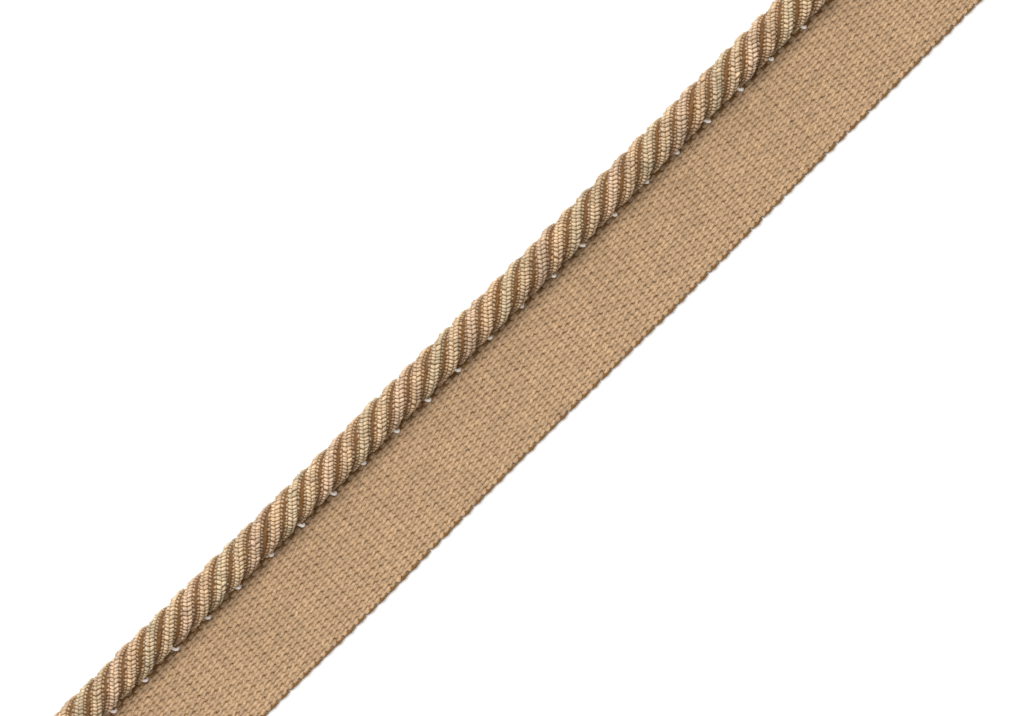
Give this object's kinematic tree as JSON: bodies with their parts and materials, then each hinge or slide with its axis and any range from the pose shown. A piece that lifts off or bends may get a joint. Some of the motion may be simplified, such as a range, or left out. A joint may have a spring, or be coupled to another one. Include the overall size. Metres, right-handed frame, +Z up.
{
  "type": "flanged cord trim",
  "caption": "Straight cut length of tan twisted cord trim on a flat woven sewing tape, lying flat.",
  "frame": {"origin": "bottom centre of the whole length, on the surface that the tape lies on", "axes": "+X along the trim, +Y across it towards the cord's side, +Z up through the tape"},
  "size_m": [0.165, 0.0194, 0.0062],
  "materials": {
    "cord_yarn": "matte spun yarn with a faint sheen, strands in four tan tones",
    "tape_weave": "matte plain-woven cotton tape, tan",
    "seam_thread": "pale sewing thread"
  },
  "bodies": {
    "root": {"cord": "cord_yarn", "tape": "tape_weave"}
  },
  "joints": []
}
